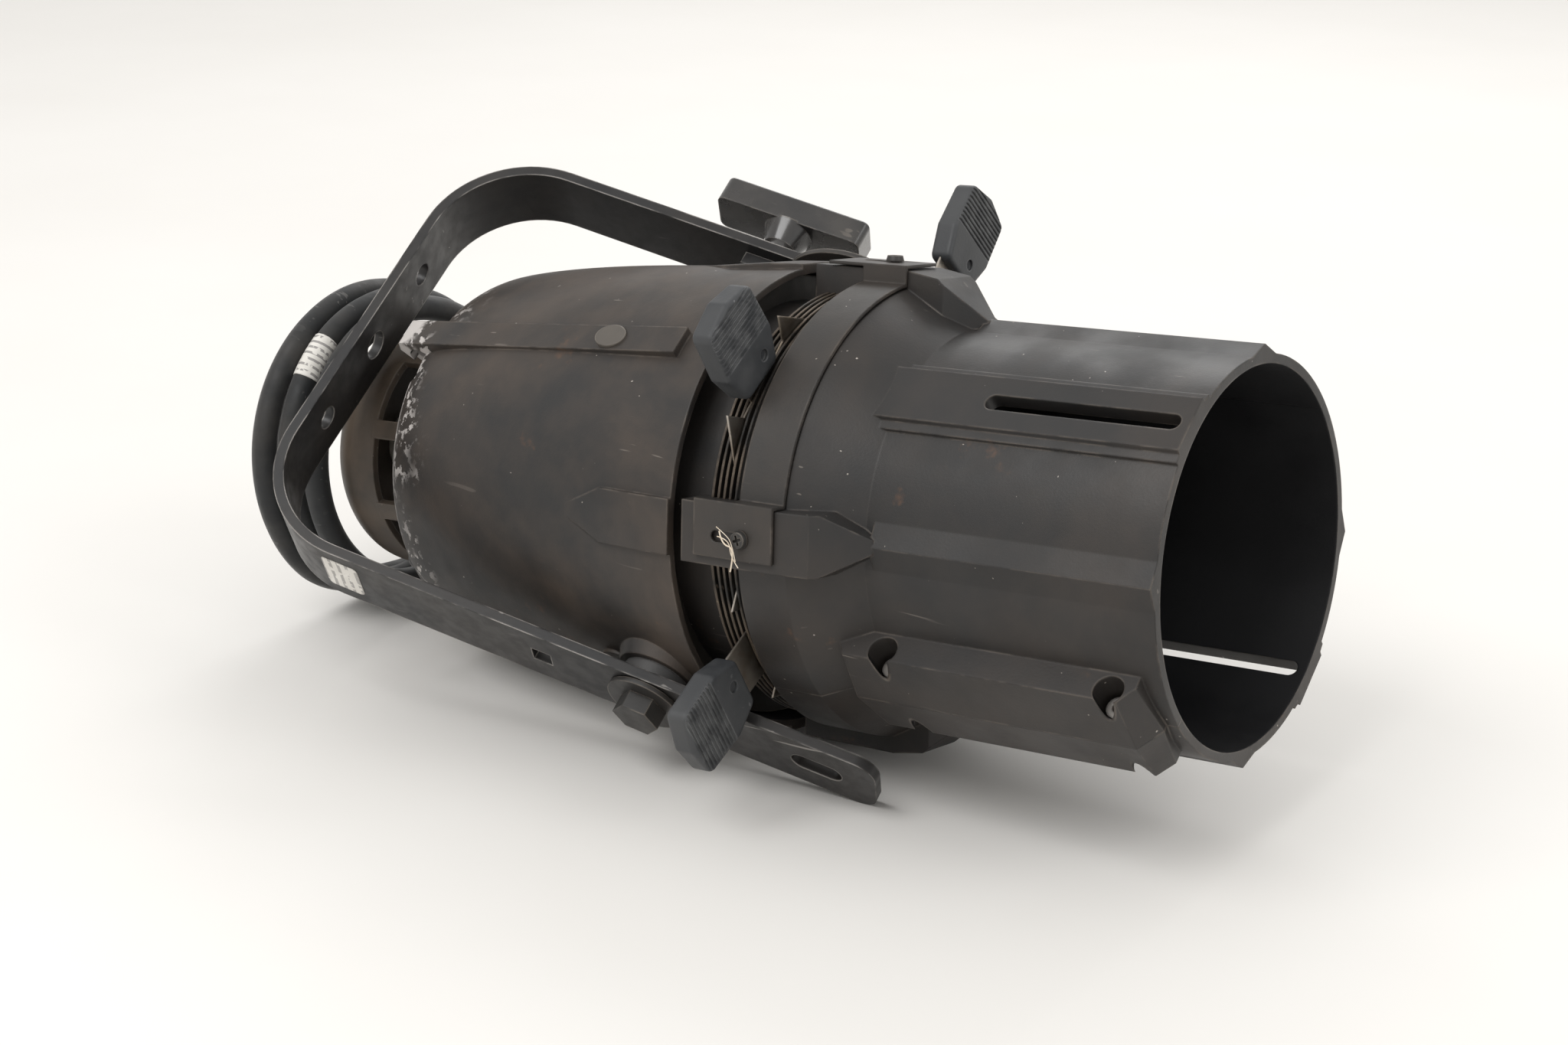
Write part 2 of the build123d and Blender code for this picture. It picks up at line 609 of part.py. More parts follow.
save(lock_handle, "lock_handle")

# =============================================================================================
# Burner: cage and cap, socket, lamp, alignment knob and the thumb screw that holds it
# =============================================================================================
KNOB_ANGLE, KNOB_OFF, KNOB_R = 90, 65.0, 5.5
FLANGE_R, FLANGE_T = 70.6, 4.0
with BuildPart() as burner_housing:
    with BuildSketch(Plane.XZ):
        with BuildLine():
            Polyline((-188, CAGE_R - CAGE_WALL), (-188, CAGE_R), (-203, CAGE_R))
            ThreePointArc((-203, CAGE_R), (-215.5, 53.5), (CAP_REAR, 41))
            Polyline((CAP_REAR, 41), (CAP_REAR, 0), (CAP_REAR + 3, 0), (CAP_REAR + 3, 40))
            ThreePointArc((CAP_REAR + 3, 40), (-213, 51), (-202, CAGE_R - CAGE_WALL))
            Line((-202, CAGE_R - CAGE_WALL), (-188, CAGE_R - CAGE_WALL))
        make_face()
    revolve(axis=Axis.X)
    for index in range(RIB_COUNT):
        with BuildSketch(along_plane(RIB_FIRST + index * 360 / RIB_COUNT)):
            Polygon((-190, CAGE_R - CAGE_WALL), (-190, CAGE_R), (CAGE_FRONT, CAGE_R),
                    (CAGE_FRONT, CAGE_R - CAGE_WALL), align=None)
        extrude(amount=4.5, both=True)
    with BuildSketch(beam_plane(CAGE_FRONT + FLANGE_T)):
        Circle(FLANGE_R)
        Circle(50, mode=Mode.SUBTRACT)
        with Locations(polar(KNOB_OFF, KNOB_ANGLE)):
            Circle(2.6, mode=Mode.SUBTRACT)
    extrude(amount=FLANGE_T)
    # lead gland boss under the cap, pointing sideways
    with BuildSketch(Plane(origin=(GLAND_X, -18, GLAND_Z), x_dir=(1, 0, 0), z_dir=(0, 1, 0))):
        Circle(9)
        with Locations((0, -9)):
            Rectangle(14, 18)
    extrude(amount=18)
    with BuildSketch(beam_plane(CAP_REAR + 5)):
        Circle(3.1)
    extrude(amount=10, mode=Mode.SUBTRACT)
save(burner_housing, "burner_housing")

with BuildPart() as burner_screw:
    with BuildSketch(beam_plane(CAGE_FRONT - 6)):
        with Locations(polar(KNOB_OFF, KNOB_ANGLE)):
            Circle(KNOB_R)
    extrude(amount=14)
    with BuildSketch(beam_plane(CAGE_FRONT + 10)):
        with Locations(polar(KNOB_OFF, KNOB_ANGLE)):
            Circle(2.55)
    extrude(amount=16)
save(burner_screw, "burner_screw")

with BuildPart() as alignment_knob:
    with BuildSketch(beam_plane(CAP_REAR - 0.5)):
        Circle(13)
        with PolarLocations(13, 8):
            Circle(2.2, mode=Mode.SUBTRACT)
    extrude(amount=11)
    with BuildSketch(beam_plane(CAP_REAR + 3.5)):
        Circle(3.05)
    extrude(amount=5)
save(alignment_knob, "alignment_knob")

with BuildPart() as lamp_socket:
    with BuildSketch(beam_plane(-184)):
        Circle(17)
    extrude(amount=-184 - (CAP_REAR + 4))
    with BuildSketch(beam_plane(CAP_REAR + 4)):
        Circle(17)
        Circle(5, mode=Mode.SUBTRACT)
    extrude(amount=1)
save(lamp_socket, "lamp_socket")

with BuildPart() as lamp_base:
    with BuildSketch(beam_plane(-164)):
        Circle(12)
    extrude(amount=20)
save(lamp_base, "lamp_base")

BULB_R, BULB_T, BULB_FRONT = 9.5, 1.2, -108.0
with BuildPart() as lamp_envelope:
    for radius, mode in ((BULB_R, Mode.ADD), (BULB_R - BULB_T, Mode.SUBTRACT)):
        with BuildSketch(beam_plane(BULB_FRONT)):
            Circle(radius)
        extrude(amount=BULB_FRONT + 164, mode=mode)
        with Locations((BULB_FRONT, 0, 0)):
            Sphere(radius, mode=mode)
save(lamp_envelope, "lamp_envelope")

with BuildPart() as lamp_filament:
    with BuildSketch(beam_plane(-116)):
        with GridLocations(5, 5, 2, 2):
            Circle(1.1)
    extrude(amount=-116 + 164)
save(lamp_filament, "lamp_filament")

# =============================================================================================
# Lead: gland relief, the turns wound behind the burner, the tail and its connector
# =============================================================================================
with BuildPart() as cable_gland:
    with BuildSketch(Plane(origin=(GLAND_X, 0, GLAND_Z), x_dir=(1, 0, 0), z_dir=(0, 1, 0))):
        Circle(9)
    with BuildSketch(Plane(origin=(RELIEF_X, RELIEF_Y, RELIEF_Z), x_dir=(1, 0, 0), z_dir=(0, 1, 0))):
        Circle(CORD_D / 2 + 0.8)
    loft()
save(cable_gland, "cable_gland")

with BuildPart() as cable_coil:
    with BuildSketch(beam_plane(COIL_FRONT)):
        Circle(COIL_OUT)
        Circle(COIL_IN, mode=Mode.SUBTRACT)
    extrude(amount=COIL_FRONT - COIL_REAR)
    fillet(cable_coil.edges().filter_by(GeomType.CIRCLE), 5)
    # the relief comes in through a gap in the first turn
    with BuildSketch(Plane.XY.offset(-40)):
        with Locations((COIL_FRONT + 4, RELIEF_Y)):
            Rectangle(24, 56, align=(Align.MAX, Align.MAX))
    extrude(amount=-60, mode=Mode.SUBTRACT)
save(cable_coil, "cable_coil")

# The tail lies on the floor, so its route and the connector are drawn in the laid-down axes.
TAIL_ROUTE = [(-250, 4.7, 6.5), (-248, 50, 6.3), (-230, 103, 6.3), (-186, 142, 6.3), (-132, 156, 6.3),
              (-88, 152, 11), (-53, 152, 11)]


def corner_radii(route):
    """Arc at each corner: 0.45 of the shorter run over the tangent of half the turn."""
    radii = []
    for before, here, after in zip(route, route[1:], route[2:]):
        run_in = Vector(*here) - Vector(*before)
        run_out = Vector(*after) - Vector(*here)
        half_turn = radians(run_in.get_angle(run_out)) / 2
        radii.append(0.45 * min(run_in.length, run_out.length) / tan(half_turn))
    return radii


tail_radii = corner_radii(TAIL_ROUTE)
print("tail radii, mm:", [round(r, 1) for r in tail_radii])

with BuildPart() as power_cable:
    with BuildLine() as tail_line:
        FilletPolyline(*TAIL_ROUTE, radius=tail_radii)
    with BuildSketch(Plane(origin=tail_line.line @ 0, z_dir=tail_line.line % 0)):
        Circle(CORD_D / 2)
    sweep()
power_cable.part.label = "power_cable"
export_step(power_cable.part, "parts/power_cable.step")
tail_length = sum(edge.length for edge in tail_line.edges())
print("tail length, mm:", round(tail_length, 1))
print("tail volume over its section, mm:", round(power_cable.part.volume / (pi * CORD_D ** 2 / 4), 1))

PLUG_L, PLUG_W, PLUG_H = 62.0, 38.0, 22.0
PIN_R, PIN_L, PIN_PITCH = 3.0, 19.0, 11.5
plug_x, plug_y, plug_z = TAIL_ROUTE[-1]
with BuildPart() as cable_connector:
    with BuildSketch(Plane(origin=(plug_x + 14, plug_y, plug_z), x_dir=(0, 1, 0), z_dir=(1, 0, 0))):
        RectangleRounded(PLUG_W, PLUG_H, 4)
    extrude(amount=PLUG_L - 14)
    with BuildSketch(Plane(origin=(plug_x, plug_y, plug_z), x_dir=(0, 1, 0), z_dir=(1, 0, 0))):
        RectangleRounded(22, 18, 5)
    with BuildSketch(Plane(origin=(plug_x + 14, plug_y, plug_z), x_dir=(0, 1, 0), z_dir=(1, 0, 0))):
        RectangleRounded(30, 20, 4)
    loft()
    with BuildSketch(Plane(origin=(plug_x + PLUG_L, plug_y, plug_z), x_dir=(0, 1, 0), z_dir=(1, 0, 0))):
        with GridLocations(PIN_PITCH, 1, 3, 1):
            Circle(PIN_R)
    extrude(amount=-8, mode=Mode.SUBTRACT)
cable_connector.part.label = "cable_connector"
export_step(cable_connector.part, "parts/cable_connector.step")

with BuildPart() as connector_pins:
    with BuildSketch(Plane(origin=(plug_x + PLUG_L - 8, plug_y, plug_z), x_dir=(0, 1, 0), z_dir=(1, 0, 0))):
        with GridLocations(PIN_PITCH, 1, 3, 1):
            Circle(PIN_R)
    extrude(amount=8 + PIN_L)
    fillet(connector_pins.faces().sort_by(Axis.X)[-3:].edges(), 1.5)
connector_pins.part.label = "connector_pins"
export_step(connector_pins.part, "parts/connector_pins.step")
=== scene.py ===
import math
import random

import bpy
from mathutils import Matrix, Vector


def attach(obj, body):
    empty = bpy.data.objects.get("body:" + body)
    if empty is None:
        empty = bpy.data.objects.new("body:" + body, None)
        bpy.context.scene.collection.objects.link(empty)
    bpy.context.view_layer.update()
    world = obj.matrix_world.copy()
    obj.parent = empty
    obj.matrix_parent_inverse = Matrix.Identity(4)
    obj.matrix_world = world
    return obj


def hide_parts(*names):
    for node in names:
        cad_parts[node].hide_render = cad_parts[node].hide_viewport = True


# Looks of the ellipsoidal spotlight: materials, the lead and its label, studio and camera.
#
# Places on the spotlight are worked out in its own axes, as in the CAD source: x along the
# beam, z through the upper focus slot, y along the tilt pivot, origin on the pivot.
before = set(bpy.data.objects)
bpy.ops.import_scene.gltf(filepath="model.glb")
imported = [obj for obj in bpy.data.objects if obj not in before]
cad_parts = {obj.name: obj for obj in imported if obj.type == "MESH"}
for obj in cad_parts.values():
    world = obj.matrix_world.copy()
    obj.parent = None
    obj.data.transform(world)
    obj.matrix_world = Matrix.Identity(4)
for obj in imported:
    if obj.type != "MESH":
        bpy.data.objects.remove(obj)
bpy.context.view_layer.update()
random.seed(7)

MM = 0.001

# ---- the spotlight's own axes in the row frame ---------------------------------------------
BEAM_RAISE = math.radians(5.299)
BODY_ROLL = math.radians(35.951)
PIVOT = Vector((-10.09, 4.74, 104.63)) * MM

BEAM = Vector((math.cos(BEAM_RAISE), 0, math.sin(BEAM_RAISE)))
LEVEL_SIDE = Vector((0, 1, 0))
LEVEL_UP = BEAM.cross(LEVEL_SIDE)
SIDE = math.cos(BODY_ROLL) * LEVEL_SIDE + math.sin(BODY_ROLL) * LEVEL_UP
UP = math.cos(BODY_ROLL) * LEVEL_UP - math.sin(BODY_ROLL) * LEVEL_SIDE


def direction(x, y, z):
    """A direction given in the spotlight's axes."""
    return x * BEAM + y * SIDE + z * UP


def place(x, y, z):
    """A point given in the spotlight's axes, in millimetres."""
    return PIVOT + direction(x, y, z) * MM


def polar(x, radius, angle):
    """A point at station x, angle in degrees from the upper slot towards the near side."""
    a = math.radians(angle)
    return place(x, -radius * math.sin(a), radius * math.cos(a))


# ---- camera ------------------------------------------------------------------------------------
camera = bpy.data.objects.new("camera", bpy.data.cameras.new("camera"))
bpy.context.scene.collection.objects.link(camera)
bpy.context.scene.camera = camera
camera.data.sensor_width = 36
camera.data.lens = 62.2
# where it stands, and the picture's right and up, in the spotlight's axes
camera_spot = place(719.65, -555.05, 833.25)
view_right = direction(0.80881, 0.43152, -0.39952)
view_up = -direction(0.11858, -0.78509, -0.60792)
view_back = view_right.cross(view_up)
camera.matrix_world = Matrix.Translation(camera_spot) @ Matrix(
    (view_right, view_up, view_back)).transposed().to_4x4()
camera.data.clip_start, camera.data.clip_end = 0.05, 50

# =================================================================================================
# The lead
# =================================================================================================
CORD_D = 12.5 * MM
COIL_START = 200            # degrees round the beam where the lead joins the coil
COIL_TURNS = 2.84
TURN_POINTS = 16
# radius of the coil after so many turns: the turns lie loose, so they differ
TURN_RADII = [(0, 70), (0.3, 67.5), (0.6, 66.3), (0.94, 73.5), (1.3, 71.5), (1.57, 70.5),
              (1.84, 72.5), (2.2, 73.6), (2.57, 75.6), (2.84, 75.6)]
TURN_PITCH = 12.8
COIL_FIRST_X = -211.5
LEAD_IN_STEPS = 2           # turn points taken up by the run from the gland


def turn_radius(turn):
    for (a, low), (b, high) in zip(TURN_RADII, TURN_RADII[1:]):
        if turn <= b:
            return low + (high - low) * (turn - a) / (b - a)
    return TURN_RADII[-1][1]


def coil_points():
    """Control points of the turns, a little outside the line because the spline cuts corners."""
    swell = 1 / math.cos(math.pi / TURN_POINTS)
    points = []
    for step in range(LEAD_IN_STEPS, round(COIL_TURNS * TURN_POINTS)):
        turn = step / TURN_POINTS
        points.append(polar(COIL_FIRST_X - TURN_PITCH * turn, turn_radius(turn) * swell,
                            COIL_START + 360 * turn))
    return points


EXIT = place(-211.5, 26, -65)
# control points from the gland's mouth to the coil
LEAD_OUT = [EXIT, place(-211.7, 38, -64), place(-212.0, 50, -56)]
# from the last turn along the floor to the connector, in the row frame
TAIL = [(-0.250, 0.0047, 0.0065), (-0.248, 0.050, 0.0063), (-0.230, 0.103, 0.0063),
        (-0.186, 0.142, 0.0063), (-0.132, 0.156, 0.0063), (-0.088, 0.152, 0.011),
        (-0.053, 0.152, 0.011)]


def nurbs(name, points, radius):
    """A NURBS tube of order 3 from the first point to the last; the points carry its radius."""
    data = bpy.data.curves.new(name, "CURVE")
    data.dimensions = "3D"
    spline = data.splines.new("NURBS")
    spline.points.add(len(points) - 1)
    for point, at in zip(spline.points, points):
        point.co = (*at, 1)
        point.radius = radius
    spline.use_endpoint_u = True
    spline.order_u = 3
    data.resolution_u = 10
    data.bevel_depth = 1
    data.bevel_resolution = 5
    data.use_fill_caps = True
    piece = bpy.data.objects.new(name, data)
    bpy.context.scene.collection.objects.link(piece)
    return piece


lead = nurbs("lead_cord", LEAD_OUT + coil_points() + TAIL, CORD_D / 2)
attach(lead, "root")
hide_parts("power_cable", "cable_coil")


def along(curve):
    """Points of a curve's own line, read from the curve with no bevel."""
    depth = curve.data.bevel_depth
    curve.data.bevel_depth = 0
    bpy.context.view_layer.update()
    shown_now = bpy.context.evaluated_depsgraph_get()
    line = bpy.data.meshes.new_from_object(curve.evaluated_get(shown_now))
    points = [curve.matrix_world @ v.co for v in line.vertices]
    bpy.data.meshes.remove(line)
    curve.data.bevel_depth = depth
    return points


lead_line = along(lead)

# =================================================================================================
# Materials
# =================================================================================================
class Shader:
    """One material's nodes, with short calls for what the materials below repeat."""

    soft = 0.0012

    def __init__(self, name, **sockets):
        self.material = bpy.data.materials.new(name)
        self.material.use_nodes = True
        self.tree = self.material.node_tree
        self.bsdf = self.tree.nodes["Principled BSDF"]
        self.spot = self.node("ShaderNodeTexCoord").outputs["Object"]
        for socket, value in sockets.items():
            self.bsdf.inputs[socket.replace("_", " ")].default_value = value

    def node(self, kind, **settings):
        node = self.tree.nodes.new(kind)
        for key, value in settings.items():
            setattr(node, key, value)
        return node

    def feed(self, socket, value):
        """Link an output to the socket, or set a constant on it."""
        if isinstance(value, bpy.types.NodeSocket):
            self.tree.links.new(value, socket)
        elif value is not None:
            socket.default_value = value

    def math(self, operation, a, b=None):
        node = self.node("ShaderNodeMath", operation=operation)
        self.feed(node.inputs[0], a)
        self.feed(node.inputs[1], b)
        return node.outputs[0]

    def vector(self, operation, a, b=None):
        node = self.node("ShaderNodeVectorMath", operation=operation)
        self.feed(node.inputs[0], a)
        self.feed(node.inputs[1], b)
        return node.outputs["Value" if operation == "DOT_PRODUCT" else "Vector"]

    def noise(self, scale, detail=3.0, roughness=0.55, spot=None, distortion=0.0):
        node = self.node("ShaderNodeTexNoise")
        self.feed(node.inputs["Vector"], spot or self.spot)
        for socket, value in (("Scale", scale), ("Detail", detail), ("Roughness", roughness),
                              ("Distortion", distortion)):
            node.inputs[socket].default_value = value
        return node.outputs["Fac"]

    def step(self, value, low, high, to_low=0.0, to_high=1.0):
        """Smooth step of value from low to high."""
        node = self.node("ShaderNodeMapRange", interpolation_type="SMOOTHSTEP")
        self.feed(node.inputs["Value"], value)
        for socket, number in (("From Min", low), ("From Max", high), ("To Min", to_low),
                               ("To Max", to_high)):
            node.inputs[socket].default_value = number
        return node.outputs["Result"]

    def mix(self, amount, a, b):
        """Colour between a and b."""
        node = self.node("ShaderNodeMix", data_type="RGBA")
        self.feed(node.inputs["Factor"], amount)
        for socket, value in ((node.inputs["A"], a), (node.inputs["B"], b)):
            self.feed(socket, (*value, 1) if isinstance(value, tuple) else value)
        return node.outputs["Result"]

    def times(self, *values):
        result = values[0]
        for value in values[1:]:
            result = self.math("MULTIPLY", result, value)
        return result

    def either(self, a, b):
        return self.math("MAXIMUM", a, b)

    def stretched(self, turn, scale, thin):
        """Coordinates for streaks along x: scaled up across x, then turned to vary the pattern.

        The mapping node scales before it turns, so every turn leaves the streaks along x.
        """
        mapping = self.node("ShaderNodeMapping", vector_type="POINT")
        self.feed(mapping.inputs["Vector"], self.spot)
        mapping.inputs["Rotation"].default_value = turn
        mapping.inputs["Scale"].default_value = (scale, scale * thin, scale * thin)
        return mapping.outputs["Vector"]

    def station(self):
        """Distance along the beam from the pivot, in millimetres."""
        from_pivot = self.vector("SUBTRACT", self.spot, tuple(PIVOT))
        return self.math("MULTIPLY", self.vector("DOT_PRODUCT", from_pivot, tuple(BEAM)), 1 / MM)

    def inward(self):
        """1 on faces that look towards the beam, 0 on faces that look away from it."""
        from_pivot = self.vector("SUBTRACT", self.spot, tuple(PIVOT))
        across = self.vector("CROSS_PRODUCT", self.vector("CROSS_PRODUCT", tuple(BEAM), from_pivot),
                             tuple(BEAM))
        facing = self.vector("DOT_PRODUCT", self.vector("NORMALIZE", across),
                             self.node("ShaderNodeNewGeometry").outputs["Normal"])
        return self.step(facing, -0.25, -0.5)

    def edges(self, width, low=0.02, high=0.16):
        """1 on rims and corners, from how far a rounded normal turns from the flat one."""
        rounded = self.node("ShaderNodeBevel", samples=6)
        rounded.inputs["Radius"].default_value = width
        turn = self.vector("DOT_PRODUCT", rounded.outputs["Normal"],
                           self.node("ShaderNodeNewGeometry").outputs["Normal"])
        return self.step(self.math("SUBTRACT", 1.0, turn), low, high)

    def bump(self, *layers):
        """Layers of (height, strength, depth in metres) over a normal with rounded edges."""
        soft = self.node("ShaderNodeBevel", samples=4)
        soft.inputs["Radius"].default_value = self.soft
        normal = soft.outputs["Normal"]
        for height, strength, depth in layers:
            node = self.node("ShaderNodeBump")
            node.inputs["Strength"].default_value = strength
            node.inputs["Distance"].default_value = depth
            self.feed(node.inputs["Height"], height)
            self.feed(node.inputs["Normal"], normal)
            normal = node.outputs["Normal"]
        self.feed(self.bsdf.inputs["Normal"], normal)

    def finish(self, colour, roughness=None, metallic=None):
        self.feed(self.bsdf.inputs["Base Color"], colour)
        self.feed(self.bsdf.inputs["Roughness"], roughness)
        self.feed(self.bsdf.inputs["Metallic"], metallic)
        return self.material


def scratches(s, least):
    """Fine scratches along x in three sizes, where the noise passes least, kept to patches."""
    found = None
    for turn, size in (((0.3, 0.2, 0.5), 9.0), ((1.1, 0.4, -0.7), 7.0), ((0.2, 1.3, 1.9), 11.0)):
        streak = s.step(s.noise(1.0, 2.0, 0.5, s.stretched(turn, size, 26.0)), least, least + 0.03)
        found = streak if found is None else s.either(found, streak)
    return s.times(found, s.step(s.noise(14.0, 2.0), 0.5, 0.62))


# Near-black colour painted on faces that look towards the beam: painted shade inside the barrel and
# housings.
BORE_PAINTED_SHADE = (0.006, 0.006, 0.007)


def cast_paint(name, black, dust, dust_amount, chips=None):
    """Satin black paint on a casting, with dust, wear on its edges, scratches and specks, and
    painted shade on its inside faces.
    """
    s = Shader(name, Specular_IOR_Level=0.42)
    clouds = s.step(s.noise(9.0, 5.0, 0.6, distortion=0.6), 0.36, 0.66)
    mottle = s.step(s.noise(55.0, 4.0, 0.6), 0.3, 0.72)
    brown = s.times(s.math("ADD", s.times(clouds, 0.7), s.times(mottle, 0.3)), dust_amount)
    colour = s.mix(brown, black, dust)
    worn = s.times(s.edges(0.0016), s.step(s.noise(75.0, 4.0), 0.42, 0.62))
    colour = s.mix(s.times(worn, 0.45), colour, (0.20, 0.165, 0.135))
    rust_patches = s.step(s.noise(22.0, 5.0, 0.7), 0.62, 0.72)
    rust = s.times(rust_patches, s.step(s.noise(160.0, 3.0), 0.45, 0.65))
    colour = s.mix(s.times(rust, 0.35), colour, (0.16, 0.075, 0.035))
    lines = scratches(s, 0.72)
    colour = s.mix(s.times(lines, 0.30), colour, (0.34, 0.30, 0.26))
    specks = s.step(s.noise(420.0, 1.0), 0.79, 0.82)
    colour = s.mix(s.times(specks, 0.7), colour, (0.42, 0.38, 0.34))
    rough = s.step(s.noise(30.0, 4.0), 0.3, 0.7, 0.40, 0.56)
    grain = s.noise(900.0, 3.0, 0.6)
    layers = [(s.noise(60.0, 3.0), 0.10, 0.0008), (grain, 0.22, 0.00025)]
    if chips is not None:
        bare = chips(s)
        metal = s.mix(s.noise(40.0, 3.0), (0.36, 0.33, 0.31), (0.60, 0.57, 0.55))
        colour = s.mix(bare, colour, metal)
        layers.append((bare, 0.5, -0.00025))
    # Faces that look towards the beam get painted shade in near-black, and a rougher, flatter
    # finish.
    inside_shade_and_matte = s.inward()
    colour = s.mix(inside_shade_and_matte, colour, BORE_PAINTED_SHADE)
    rough = s.math("ADD", rough, s.times(inside_shade_and_matte, 0.12))
    s.bump(*layers)
    return s.finish(colour, rough)


CHIPS_START, CHIPS_FULL = -128.0, -152.0    # stations between which the paint starts to flake
BEAD_START, BEAD_FULL = -150.0, -154.5      # and where the rim itself is bare


def rim_chips(s):
    """Paint flaked off the housing's rear rim and the end of its rail."""
    behind = s.math("ADD", s.station(), s.times(s.math("SUBTRACT", s.noise(26.0, 4.0), 0.5), 75.0))
    near_rim = s.step(behind, CHIPS_START, CHIPS_FULL)
    flakes = s.step(s.noise(170.0, 5.0, 0.68), 0.53, 0.56)
    patches = s.times(near_rim, flakes, s.step(s.noise(34.0, 3.0), 0.44, 0.52))
    bead = s.times(s.step(s.station(), BEAD_START, BEAD_FULL),
                   s.step(s.noise(48.0, 4.0), 0.36, 0.46))
    return s.either(patches, bead)


def coated_steel(name, base, wear, wear_colour, dust=0.25):
    """Black coat on steel bar or sheet, bright where the edges rub."""
    s = Shader(name, Specular_IOR_Level=0.45)
    clouds = s.step(s.noise(16.0, 5.0, 0.6), 0.38, 0.68)
    colour = s.mix(s.times(clouds, dust), base, (0.055, 0.045, 0.036))
    rub = s.times(s.edges(0.0011, 0.015, 0.10), s.step(s.noise(48.0, 4.0), 0.36, 0.60), wear)
    colour = s.mix(rub, colour, wear_colour)
    colour = s.mix(s.times(scratches(s, 0.72), 0.5), colour, wear_colour)
    rough = s.step(s.noise(120.0, 4.0), 0.3, 0.7, 0.34, 0.50)
    s.bump((s.noise(1300.0, 2.0), 0.16, 0.0002), (s.noise(90.0, 3.0), 0.08, 0.0006))
    return s.finish(colour, rough, s.times(rub, 0.6))


def moulded(name, base, rub_colour, roughness, rub=0.6, grain=0.12, coat=0.0):
    """Moulded plastic or hard rubber, paler where it rubs."""
    s = Shader(name, Coat_Weight=coat, Coat_Roughness=0.12)
    clouds = s.step(s.noise(35.0, 4.0), 0.35, 0.7)
    edge_colour = tuple(min(1.0, 2.3 * c) for c in rub_colour)
    scratch_colour = tuple(min(1.0, 2.6 * c) for c in rub_colour)
    colour = s.mix(s.times(clouds, 0.35), base, rub_colour)
    worn = s.times(s.edges(0.0012, 0.02, 0.14), s.step(s.noise(110.0, 4.0), 0.38, 0.6), rub)
    colour = s.mix(worn, colour, edge_colour)
    colour = s.mix(s.times(scratches(s, 0.7), 0.4), colour, scratch_colour)
    rough = s.step(s.noise(70.0, 4.0), 0.3, 0.7, roughness - 0.07, roughness + 0.08)
    s.bump((s.noise(700.0, 2.0), grain, 0.0003))
    return s.finish(colour, rough)


def bare_metal(name, light, dark, roughness, streaks=0.25):
    """Metal with brush streaks and darker handling stains."""
    s = Shader(name, Metallic=1.0)
    brushed = s.noise(1.0, 3.0, 0.6, s.stretched((0, 0, 0), 30.0, 40.0))
    stains = s.step(s.noise(28.0, 5.0, 0.6), 0.35, 0.7)
    colour = s.mix(stains, light, dark)
    rough = s.math("ADD", s.times(brushed, streaks), roughness)
    s.bump((brushed, 0.12, 0.0002))
    return s.finish(colour, rough)


def cable_sheath():
    """Dark rubber sheath: fine lengthwise marks, pale dust, a little sheen."""
    s = Shader("cable_sheath", Specular_IOR_Level=0.35, Sheen_Weight=0.15, Sheen_Roughness=0.5)
    dusty = s.step(s.noise(24.0, 5.0, 0.6), 0.38, 0.7)
    colour = s.mix(s.times(dusty, 0.6), (0.012, 0.013, 0.014), (0.05, 0.045, 0.04))
    colour = s.mix(s.times(scratches(s, 0.68), 0.35), colour, (0.2, 0.19, 0.18))
    rough = s.step(s.noise(90.0, 4.0), 0.3, 0.7, 0.50, 0.68)
    s.bump((s.noise(380.0, 4.0), 0.22, 0.0004), (s.noise(45.0, 2.0), 0.12, 0.001))
    return s.finish(colour, rough)


def printed_paper(name, across, gap, size):
    """White label with plain grey bars across it."""
    s = Shader(name, Specular_IOR_Level=0.4)
    along_bars = s.times(s.vector("DOT_PRODUCT", s.spot, tuple(across)), 1 / gap)
    bar = s.step(s.math("PINGPONG", along_bars, 0.5), 0.28, 0.32)
    broken = s.step(s.noise(1.0, 1.0, 0.5, s.stretched((0.4, 0.7, 0.2), 300.0, 1.0)), 0.42, 0.48)
    faded = s.mix(s.noise(60.0, 4.0), (0.82, 0.80, 0.76), (0.60, 0.57, 0.52))
    colour = s.mix(s.times(bar, broken, size), faded, (0.16, 0.15, 0.15))
    s.bump((s.noise(300.0, 3.0), 0.08, 0.0003))
    return s.finish(colour, s.step(s.noise(50.0, 3.0), 0.3, 0.7, 0.42, 0.6))


def quartz():
    s = Shader("quartz", Roughness=0.03, Transmission_Weight=1.0, IOR=1.46)
    haze = s.step(s.noise(120.0, 3.0), 0.5, 0.75)
    return s.finish(s.mix(haze, (0.97, 0.98, 0.98), (0.86, 0.87, 0.86)),
                    s.step(haze, 0.0, 1.0, 0.02, 0.12))


def ceramic():
    s = Shader("ceramic", Specular_IOR_Level=0.5)
    colour = s.mix(s.step(s.noise(60.0, 5.0), 0.4, 0.7), (0.74, 0.70, 0.62), (0.50, 0.43, 0.34))
    s.bump((s.noise(800.0, 2.0), 0.1, 0.0002))
    return s.finish(colour, s.step(s.noise(100.0, 3.0), 0.3, 0.7, 0.45, 0.6))


